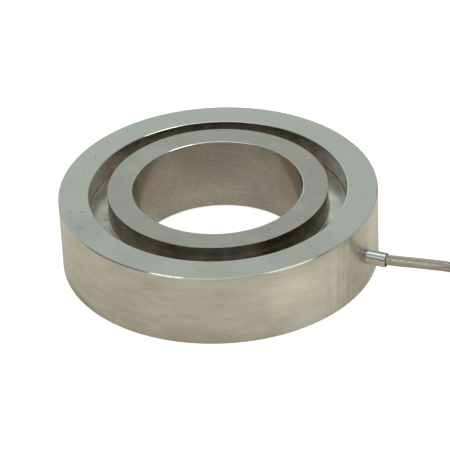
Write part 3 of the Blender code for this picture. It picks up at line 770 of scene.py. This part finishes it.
def cable_ferrule():
    """The bright sleeve round the cable, with a worn lip and a dull hole."""
    # The bright sleeve's tint, darker and warmer on its lower part, is painted shade of the floor
    # that it mirrors.
    bright = steel("bright_sleeve", (0.6, 0.605, 0.58), 0.08, pitch=3000.0, run=60.0,
                   lines=0.01, clouds=0.015, relief=0.03, lean=polar(-0.2, EXIT_ANGLE),
                   tint=(11.0 * MM, 10.3 * MM, (0.555, 0.515, 0.435), 1.0))
    dull = steel("dull_neck", (0.2, 0.2, 0.18), 0.4, pitch=3000.0, run=60.0)
    worn = steel("rolled_lip", (0.54, 0.54, 0.49), 0.25, pitch=3000.0, run=60.0, lines=0.03,
                 clouds=0.03, relief=0.05)
    corners = (
        (CORES_RADIUS, FERRULE_ROOT, INSIDE),
        (FERRULE_RADIUS, FERRULE_ROOT, GROUND),
        (FERRULE_RADIUS, FERRULE_MOUTH - FERRULE_LIP, EDGE),
        (FERRULE_RADIUS - FERRULE_LIP * 0.8, FERRULE_MOUTH, INSIDE),
        (FERRULE_BORE, FERRULE_MOUTH, INSIDE),
        (FERRULE_BORE, FERRULE_MOUTH - FERRULE_DEPTH, INSIDE),
        (CORES_RADIUS, FERRULE_MOUTH - FERRULE_DEPTH, INSIDE),
    )
    finishes = {GROUND: bright, EDGE: worn, INSIDE: dull}
    ferrule = turned("cable_ferrule_bright", corners, finishes, FERRULE_SEGMENTS, along_exit())
    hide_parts("cable_ferrule")
    return ferrule


def smooth_path(route, spacing):
    """Points about a spacing apart on a smooth curve through the route's own points."""
    route = [Vector(point) for point in route]
    ends = [2 * route[0] - route[1]] + route + [2 * route[-1] - route[-2]]
    dense = []
    for a, b, c, d in zip(ends, ends[1:], ends[2:], ends[3:]):
        steps = max(8, round((c - b).length / spacing * 8))
        for step in range(steps):
            t = step / steps
            dense.append(0.5 * (2 * b + (c - a) * t + (2 * a - 5 * b + 4 * c - d) * t ** 2
                                + (3 * b - a - 3 * c + d) * t ** 3))
    dense.append(route[-1])
    return evenly(dense, spacing)


def evenly(dense, spacing):
    """Points about a spacing apart along a dense line of points."""
    lengths = [0.0]
    for here, there in zip(dense, dense[1:]):
        lengths.append(lengths[-1] + (there - here).length)
    count = max(2, round(lengths[-1] / spacing))
    points = []
    index = 0
    for step in range(count + 1):
        target = lengths[-1] * step / count
        while index < len(dense) - 2 and lengths[index + 1] < target:
            index += 1
        share = (target - lengths[index]) / max(lengths[index + 1] - lengths[index], 1e-12)
        points.append(dense[index].lerp(dense[index + 1], share))
    return points


def mouth():
    """The middle of the ferrule's open end."""
    return polar(FERRULE_MOUTH, EXIT_ANGLE, EXIT_HEIGHT)


def coil_centre():
    """The coil's axis, at the floor."""
    x, y = COIL_APPROACH
    return Vector((mouth().x + x, mouth().y + y + COIL_OUTER_TURN, 0.0))


def coil_points():
    """The coil's turns, out and in again from layer to layer, and on to where the tail leaves."""
    pitch = 2 * CABLE_RADIUS
    points = []
    for step in range(COIL_LAYERS * COIL_TURNS * COIL_POINTS + 1):
        turns = step / COIL_POINTS
        layer = min(int(turns / COIL_TURNS), COIL_LAYERS - 1)
        share = turns / COIL_TURNS - layer
        inwards = share if layer % 2 == 0 else 1 - share
        radius = COIL_OUTER_TURN + (COIL_INNER_TURN - COIL_OUTER_TURN) * inwards
        rise = 0.0
        if layer:
            t = min(1.0, share * COIL_TURNS * 2 * pi / CLIMB)
            rise = t * t * (3 - 2 * t) - 1
        height = COIL_FLOOR + (layer + rise) * pitch
        points.append(coil_centre() + polar(radius, 2 * pi * turns - pi / 2, height))
    last = TAIL_ANGLE + pi / 2
    for step in range(1, LEAVING_POINTS + 1):
        angle = last * step / LEAVING_POINTS - pi / 2
        points.append(coil_centre() + polar(COIL_OUTER_TURN, angle, points[-1].z))
    return points


def from_point(start, route):
    """A route in mm as points, with x and y from the start and z from the floor."""
    return [Vector((start.x + x * MM, start.y + y * MM, z * MM)) for x, y, z in route]


def cable_points():
    """The whole cable: from the ferrule to the coil, its turns, and the tail."""
    lead = [polar(CABLE_START, EXIT_ANGLE, EXIT_HEIGHT), mouth()] + from_point(mouth(), CABLE_ROUTE)
    lead.append(coil_centre() + Vector((-BESIDE_COIL, -COIL_OUTER_TURN, COIL_FLOOR)))
    leaving = coil_centre() + polar(COIL_OUTER_TURN, TAIL_ANGLE, TAIL_START_HEIGHT)
    leaving += polar(BESIDE_COIL, TAIL_ANGLE + pi / 2)
    coil = coil_points()
    tail = [coil[-2], coil[-1], leaving] + from_point(leaving, TAIL_ROUTE)
    step = CABLE_STEP / 4
    return evenly(smooth_path(lead, step) + smooth_path(coil, step)[1:]
                  + smooth_path(tail, step)[1:], CABLE_STEP)


def tube_mesh(name, points, radii, around, materials, breaks=()):
    """A closed tube along the points, with a radius at each and a new material after each break.

    Its UV map is metres along and turns round.
    """
    bm = bmesh.new()
    uv = bm.loops.layers.uv.new(CABLE_UV)
    tangents = []
    for index in range(len(points)):
        span = points[min(index + 1, len(points) - 1)] - points[max(index - 1, 0)]
        tangents.append(span.normalized() if span.length > 1e-9 else tangents[-1])
    side = tangents[0].orthogonal().normalized()
    rings, lengths = [], [0.0]
    for index, (point, tangent, radius) in enumerate(zip(points, tangents, radii)):
        side = (side - tangent * side.dot(tangent)).normalized()
        other = tangent.cross(side)
        if index:
            lengths.append(lengths[-1] + (point - points[index - 1]).length)
        ring = []
        for step in range(around):
            angle = 2 * pi * step / around
            outwards = side * cos(angle) + other * sin(angle)
            ring.append(bm.verts.new(point + outwards * radius))
        rings.append(ring)
    for index, (low, high) in enumerate(zip(rings, rings[1:])):
        for step in range(around):
            after = (step + 1) % around
            face = bm.faces.new((low[step], low[after], high[after], high[step]))
            face.material_index = sum(index >= b for b in breaks)
            for loop, (up, on) in zip(face.loops, ((0, 0), (0, 1), (1, 1), (1, 0))):
                loop[uv].uv = (lengths[index + up], (step + on) / around)
    bm.faces.new(list(reversed(rings[0])))
    cap = bm.faces.new(rings[-1])
    cap.material_index = len(breaks)
    mesh = bpy.data.meshes.new(name)
    bm.to_mesh(mesh)
    bm.free()
    mesh.shade_smooth()
    mesh.set_sharp_from_angle(angle=radians(50))
    for material in materials:
        mesh.materials.append(material)
    return link(name, mesh)


def shield_material():
    """A fine metal braid under a thin clear jacket."""
    made, tree, feed, position = plain(
        "braided_shield", (0.42, 0.38, 0.32), 0.17, 0.9, Coat_Weight=0.3, Coat_Roughness=0.12)
    uv = out(tree, "ShaderNodeUVMap", uv_map=CABLE_UV)
    along, turn = split(tree, uv)[:2]
    weave = place(tree, BRAID, {"Along": along, "Round": turn, "Strands": 14.0, "Lay": 0.034})
    strand = noise(tree, vmath(tree, "MULTIPLY", uv, (60.0, 34.0, 0.0)), 1.0, 2.0)
    tone = calc(tree, "ADD", calc(tree, "MULTIPLY", weave["Height"], 0.4),
                calc(tree, "MULTIPLY", strand, 0.6))
    base = mix(tree, tone, (0.25, 0.22, 0.18), (0.58, 0.54, 0.46))
    feed("Base Color", base)
    height = calc(tree, "ADD", weave["Height"], strand)
    feed("Normal", out(tree, "ShaderNodeBump", {
        "Strength": 0.12, "Distance": 0.1 * MM, "Height": height,
        "Normal": leaning(tree, position, polar(0.1, EXIT_ANGLE))}))
    return made


def cable(points):
    """The whole cable as one tube, which is a cord with what lies on it."""
    line = tube_mesh("shielded_cable", points, [CABLE_RADIUS] * len(points), CABLE_AROUND,
                     [shield_material()])
    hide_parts("cable", "cable_coil", "cable_tail")
    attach(line, "root")


def coated(name, colour, roughness, grain, relief, variation=0.2, **more):
    """Plastic, lacquer or ceramic with a fine grain and slight changes of tone."""
    made, tree, feed, position = plain(name, colour, roughness, **more)
    wear = place(tree, WEAR, {"Position": position, "Size": grain * 0.3, "Pit Spacing": grain})
    fine = noise(tree, position, grain, 3.0)
    darker = tuple(c * (1 - variation) for c in colour)
    paler = tuple(min(1.0, c * (1 + variation)) for c in colour)
    base = mix(tree, spread(tree, wear["Clouds"], 0.0, 1.0), darker, paler)
    feed("Base Color", base)
    feed("Roughness", spread(tree, fine, roughness * 0.85, roughness * 1.15))
    feed("Normal", out(tree, "ShaderNodeBump", {
        "Strength": relief, "Distance": 0.03 * MM, "Height": fine}))
    return made


def tie_section(inner, outer, low, high, corner):
    """A rounded rectangle in radius and height, from the outer side's middle."""
    points = []
    turns = ((outer, high, 1, 1), (inner, high, -1, 1), (inner, low, -1, -1), (outer, low, 1, -1))
    for quarter, (radius, z, side, up) in enumerate(turns):
        for step in range(7):
            angle = (quarter + step / 6) * pi / 2
            points.append((radius - side * corner + corner * cos(angle),
                           z - up * corner + corner * sin(angle)))
    return points


def coil_tie(number, angle, inner, outer, nylon):
    """One nylon tie round the turns, with its head and the cut end of its strap."""
    inside = tie_section(inner, outer, TIE_LOW, TIE_HIGH, TIE_CORNER)
    outside = tie_section(inner - TIE_THICKNESS, outer + TIE_THICKNESS, TIE_LOW - TIE_THICKNESS,
                          TIE_HIGH + TIE_THICKNESS, TIE_CORNER + TIE_THICKNESS)
    bm = bmesh.new()
    loops = []
    for y in (-TIE_WIDTH / 2, TIE_WIDTH / 2):
        for section in (outside, inside):
            loops.append([bm.verts.new((r, y, z)) for r, z in section])
    count = len(outside)
    for here in range(count):
        there = (here + 1) % count
        for a, b in ((0, 1), (1, 3), (3, 2), (2, 0)):
            bm.faces.new((loops[a][here], loops[a][there], loops[b][there], loops[b][here]))
    face, middle = outer + TIE_THICKNESS, (TIE_LOW + TIE_HIGH) / 2
    for size, away, up in TIE_HEAD:
        box = bmesh.ops.create_cube(bm, size=1.0)["verts"]
        bmesh.ops.scale(bm, vec=[s * MM for s in size], verts=box)
        bmesh.ops.translate(bm, vec=(face + away * MM, 0, middle + up * MM), verts=box)
    bmesh.ops.recalc_face_normals(bm, faces=bm.faces)
    mesh = bpy.data.meshes.new(f"cable_tie_{number}")
    bm.to_mesh(mesh)
    bm.free()
    mesh.materials.append(nylon)
    thing = link(mesh.name, mesh)
    bevel = thing.modifiers.new("soft_edges", "BEVEL")
    bevel.width = 0.15 * MM
    bevel.segments = 2
    bevel.angle_limit = radians(40)
    finished(thing, Matrix.Translation(coil_centre()) @ Matrix.Rotation(angle, 4, "Z"))
    thing.data.shade_smooth()
    thing.data.set_sharp_from_angle(angle=radians(40))
    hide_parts(f"coil_tie_{number}")
    return thing


def shrink_sleeve(at):
    """The sleeve shrunk over the cable's end, a little uneven."""
    rubber = coated("shrink_sleeve", (0.03, 0.03, 0.032), 0.42, grain=700.0, relief=0.3)
    corners = [(radius * MM, height * MM, GROUND) for radius, height in SLEEVE_PROFILE]
    sleeve = turned("shrink_sleeve", corners, {GROUND: rubber, EDGE: rubber}, FERRULE_SEGMENTS, at)
    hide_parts("end_sleeve")
    return sleeve


def stripped_leads(face, along, left, up):
    """The four leads from the sleeve's end face, each with its end bare."""
    tinned = steel("tinned_strands", (0.62, 0.61, 0.58), 0.3, pitch=9000.0, run=300.0,
                   lines=0.1, clouds=0.1, relief=0.6)
    leads = []
    for colour, (shade, (side, level), route) in STRIPPED_LEADS.items():
        first = face + left * side * FLYING_PITCH + up * level * FLYING_PITCH
        rest = [face + along * x * MM + left * y * MM + up * (z * MM - face.z) for x, y, z in route]
        line = smooth_path([first - along * 0.6 * MM, first] + rest, FLYING_STEP)
        bare = len(line) - round(BARE_LENGTH / FLYING_STEP)
        line.insert(bare + 1, line[bare] + (line[bare + 1] - line[bare]) * 0.02)
        radii = [FLYING_RADIUS if i <= bare else STRAND_RADIUS for i in range(len(line))]
        radii[-1] = STRAND_RADIUS * 0.6
        skin = coated(f"insulation_{colour}", shade, 0.35, grain=1500.0, relief=0.1, variation=0.1)
        lead = tube_mesh(f"stripped_lead_{colour}", line, radii, FLYING_AROUND, [skin, tinned],
                         (bare + 1,))
        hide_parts(f"flying_lead_{colour}")
        leads.append(lead)
    return leads


def cable_end(points):
    """The shrink sleeve on the cable's end and the four stripped leads, lying on the floor."""
    along = points[-1] - points[-2]
    along.z = 0.0
    along.normalize()
    left = Vector((-along.y, along.x, 0.0))
    up = Vector((0.0, 0.0, 1.0))
    start = points[-1] + along * GAP
    start.z = SLEEVE_RADIUS
    turn = Matrix((left, up, along)).transposed().to_4x4()
    sleeve = shrink_sleeve(Matrix.Translation(start) @ turn)
    face = start + along * (SLEEVE_LENGTH + GAP)
    return [sleeve] + stripped_leads(face, along, left, up)


def inner_materials():
    """Finishes of what lies inside the pocket, on the solids themselves."""
    foil, tree, feed, position = plain("gauge_film", (0.5, 0.3, 0.1), 0.4, Coat_Weight=0.3)
    film_top = WEB_TOP + GAP + 0.105 * MM
    grid = fit(tree, split(tree, position)[2], film_top, film_top + 0.035 * MM)
    fine = noise(tree, position, 4000.0, 3.0)
    amber = mix(tree, fine, (0.42, 0.2, 0.05), (0.56, 0.3, 0.09))
    base = mix(tree, grid, amber, (0.6, 0.52, 0.42))
    feed("Base Color", base)
    feed("Metallic", grid)
    feed("Roughness", spread(tree, fine, 0.32, 0.48))
    lacquer = coated("lacquered_wire", (0.5, 0.16, 0.06), 0.28, grain=2500.0, relief=0.05,
                     metallic=0.8, Coat_Weight=0.5)
    finishes = {
        "strain_gauge": foil,
        "jumper_wire": lacquer,
        "board_wire": lacquer,
        "bridge_board": coated("solder_mask", (0.02, 0.15, 0.06), 0.4, grain=1800.0, relief=0.2,
                               variation=0.25),
        "resistor": coated("resistor_body", (0.035, 0.035, 0.04), 0.4, grain=2200.0, relief=0.2,
                           variation=0.3),
    }
    for name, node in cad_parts.items():
        for key, finish in finishes.items():
            if key in name:
                node.data.materials[0] = finish
    for colour in STRIPPED_LEADS:
        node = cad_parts[f"inner_lead_{colour}"]
        node.data.materials[0] = bpy.data.materials[f"insulation_{colour}"]


def softbox(name, azimuth, elevation, distance, width, height, power, colour):
    """An area lamp that faces the middle of the ring."""
    lamp = bpy.data.lights.new(name, "AREA")
    lamp.shape = "RECTANGLE"
    lamp.size = width
    lamp.size_y = height
    lamp.energy = power
    lamp.color = colour
    thing = link(name, lamp)
    flat = distance * cos(radians(elevation))
    height_over = distance * sin(radians(elevation))
    thing.location = polar(flat, radians(azimuth), height_over)
    thing.rotation_euler = (-thing.location).to_track_quat("-Z", "Y").to_euler()


def mirror_rays(tree):
    """Light Path's outputs, and what is 1 for a ray that comes from metal or glass."""
    rays = tree.nodes.new("ShaderNodeLightPath").outputs
    return rays, calc(tree, "MAXIMUM", rays["Is Glossy Ray"], rays["Is Transmission Ray"])


def studio_world():
    """White behind the object, and a grey room with pale panels for what the metal reflects."""
    world = bpy.data.worlds.new("studio")
    bpy.context.scene.world = world
    world.use_nodes = True
    tree = world.node_tree
    tree.nodes.clear()
    way = add(tree, "ShaderNodeTexCoord").outputs["Generated"]
    room = (0.36, 0.37, 0.36)
    for azimuth, elevation, full, gone, colour in PANELS:
        towards = polar(cos(radians(elevation)), radians(azimuth), sin(radians(elevation)))
        facing = vmath(tree, "DOT_PRODUCT", way, tuple(towards))
        share = fit(tree, facing, cos(radians(gone)), cos(radians(full)))
        room = mix(tree, share, room, colour)
    rays, mirrored = mirror_rays(tree)
    colour = mix(tree, mirrored, (0.75, 0.77, 0.78), room)
    colour = mix(tree, rays["Is Camera Ray"], colour, (1.0, 1.0, 1.0))
    background = out(tree, "ShaderNodeBackground", {"Color": colour, "Strength": 1.0})
    add(tree, "ShaderNodeOutputWorld", {0: background})


def floor():
    """A floor that shows white and keeps a soft shadow, and that metal mirrors as a warm grey."""
    half = FLOOR_SIZE / 2
    mesh = bpy.data.meshes.new("floor")
    mesh.from_pydata([(-half, -half, 0), (half, -half, 0), (half, half, 0), (-half, half, 0)], [],
                     [(0, 1, 2, 3)])
    made = bpy.data.materials.new("floor_white")
    made.use_nodes = True
    tree = made.node_tree
    tree.nodes.clear()
    rays, mirrored = mirror_rays(tree)
    paper = mix(tree, mirrored, (0.72, 0.72, 0.72), (0.5, 0.475, 0.42))
    matt = out(tree, "ShaderNodeBsdfDiffuse", {"Color": paper})
    glow = calc(tree, "ADD", calc(tree, "MULTIPLY", rays["Is Camera Ray"], FLOOR_GLOW_SEEN),
                calc(tree, "MULTIPLY", mirrored, FLOOR_GLOW_MIRRORED))
    tone = mix(tree, mirrored, (1.0, 1.0, 1.0), (1.0, 0.955, 0.84))
    light = out(tree, "ShaderNodeEmission", {"Color": tone, "Strength": glow})
    both = out(tree, "ShaderNodeAddShader", {0: matt, 1: light})
    add(tree, "ShaderNodeOutputMaterial", {0: both})
    mesh.materials.append(made)
    link("floor", mesh)


def camera():
    """The photograph's point of view: 33.8 degrees above the floor, from about 0.88 m."""
    lens = bpy.data.cameras.new("camera")
    lens.lens = FOCAL_LENGTH
    thing = link("camera", lens)
    turn = Matrix((CAMERA_RIGHT, CAMERA_UP, CAMERA_BACK)).transposed().to_4x4()
    thing.matrix_world = Matrix.Translation(CAMERA_AT) @ turn
    bpy.context.scene.camera = thing


def main():
    """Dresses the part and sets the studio."""
    bpy.context.scene.view_settings.view_transform = "Standard"
    camera()
    shown = [cell_body(ring_steels()), groove_cover()]
    ferrule = cable_ferrule()
    nylon = coated("black_nylon", (0.03, 0.03, 0.032), 0.45, grain=800.0, relief=0.2)
    ties = [coil_tie(number, *tie, nylon) for number, tie in enumerate(TIES, 1)]
    route = cable_points()
    on_cable = [ferrule] + ties + cable_end(route)
    for piece in shown + on_cable:
        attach(piece, "root")
    cable(route)
    inner_materials()
    floor()
    studio_world()
    softbox("left_softbox", -136, 52, distance=1.1, width=0.31, height=0.3, power=0.38,
            colour=(0.97, 0.99, 1.0))
    softbox("right_softbox", 33, 70, distance=1.1, width=0.17, height=0.25, power=0.6,
            colour=(1.0, 0.99, 0.96))


main()
